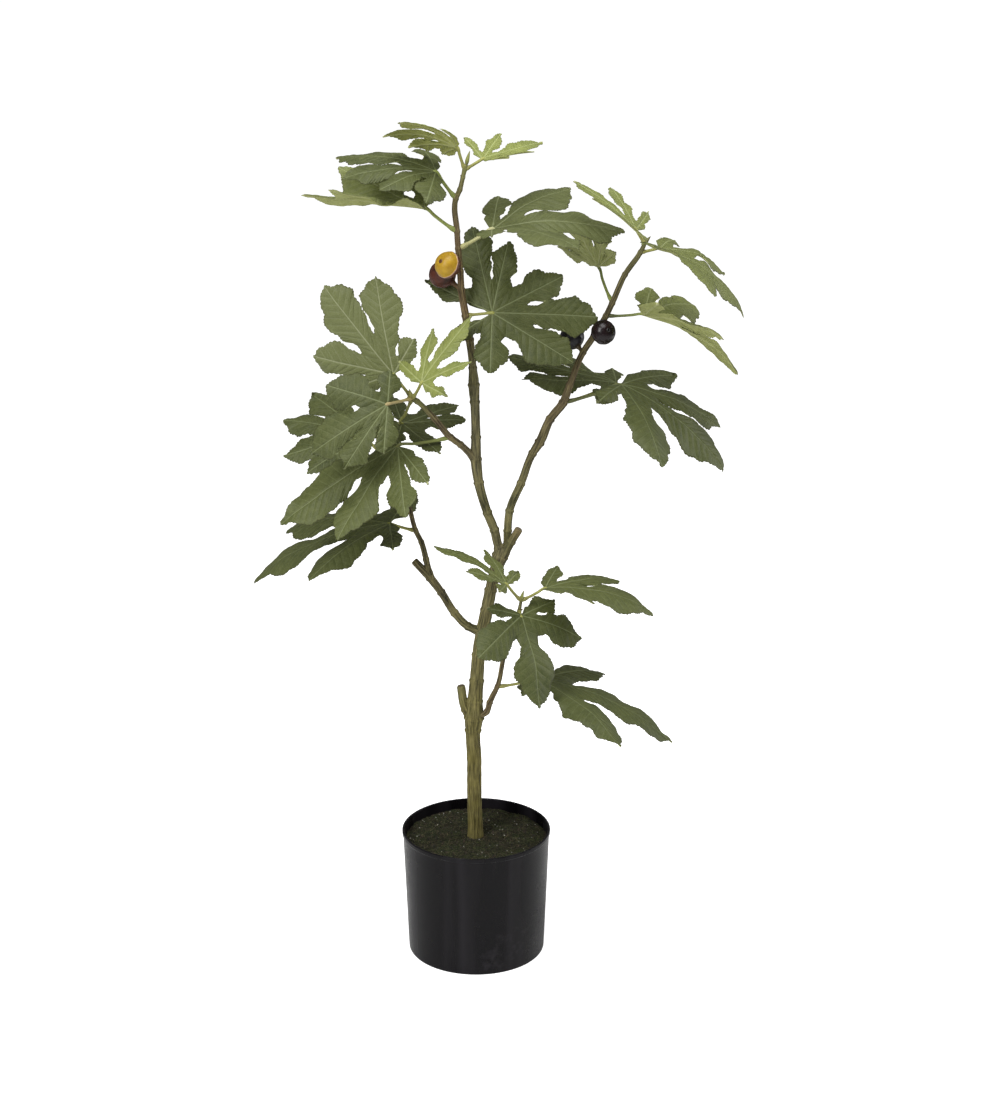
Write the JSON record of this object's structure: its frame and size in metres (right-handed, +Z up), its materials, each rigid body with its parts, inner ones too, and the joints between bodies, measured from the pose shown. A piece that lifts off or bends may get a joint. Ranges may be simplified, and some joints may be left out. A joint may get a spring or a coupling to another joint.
{
  "type": "potted fig tree",
  "caption": "Young fig tree with lobed leaves on thin stalks, forked woody stems and round figs, planted in soil in a round black pot.",
  "frame": {"origin": "centre of the pot's flat underside, on the surface that it stands on", "axes": "+Z up along the pot's axis, -Y towards the side that is seen from the front, +X to the right seen from there"},
  "size_m": [0.5122, 0.2252, 0.909],
  "materials": {
    "pot": "satin black moulded plastic with a soft sheen",
    "soil": "dark fibrous potting soil with moss and a few white grains",
    "trunk": "olive green-brown bark with fine lengthwise ridges",
    "bark": "green-brown bark, darker towards the ends",
    "stalk": "smooth yellow-green leaf stalk",
    "leaf": "dark green upper face with paler veins, olive under face, finely woven look",
    "young_leaf": "yellow-green upper face with paler veins",
    "yellow_fig": "waxy yellow skin with a dark eye",
    "plum_fig": "waxy red-brown skin",
    "dark_fig": "waxy purple-black skin"
  },
  "bodies": {
    "root": {"pot": "pot", "soil": "soil", "trunk": "trunk", "left_leader": "bark", "right_leader": "bark", "left_branch": "bark", "lower_left_branch": "bark", "lower_left_twig": "bark", "lower_right_twig": "bark", "top_left_leaf": "young_leaf", "top_left_stalk": "stalk", "top_right_leaf": "young_leaf", "top_right_stalk": "stalk", "upper_left_leaf": "leaf", "upper_left_stalk": "stalk", "folded_left_leaf": "leaf", "folded_left_stalk": "stalk", "upper_right_leaf": "leaf", "upper_right_stalk": "stalk", "middle_leaf": "leaf", "middle_stalk": "stalk", "back_right_leaf": "leaf", "back_right_stalk": "stalk", "young_right_leaf": "young_leaf", "young_right_stalk": "stalk", "drooping_right_leaf": "young_leaf", "drooping_right_stalk": "stalk", "folded_right_leaf": "leaf", "folded_right_stalk": "stalk", "wide_right_leaf": "leaf", "wide_right_stalk": "stalk", "inner_right_leaf": "leaf", "inner_right_stalk": "stalk", "wide_left_leaf": "leaf", "wide_left_stalk": "stalk", "young_left_leaf": "young_leaf", "young_left_stalk": "stalk", "front_left_leaf": "leaf", "front_left_stalk": "stalk", "back_left_leaf": "leaf", "back_left_stalk": "stalk", "hanging_left_leaf": "leaf", "hanging_left_stalk": "stalk", "far_left_leaf": "leaf", "far_left_stalk": "stalk", "low_left_leaf": "leaf", "low_left_stalk": "stalk", "small_front_leaf": "leaf", "small_front_stalk": "stalk", "low_right_leaf": "leaf", "low_right_stalk": "stalk", "front_right_leaf": "leaf", "front_right_stalk": "stalk", "lowest_right_leaf": "leaf", "lowest_right_stalk": "stalk", "yellow_fig": "yellow_fig", "plum_fig": "plum_fig", "purple_fig": "dark_fig", "black_fig": "dark_fig"}
  },
  "joints": []
}
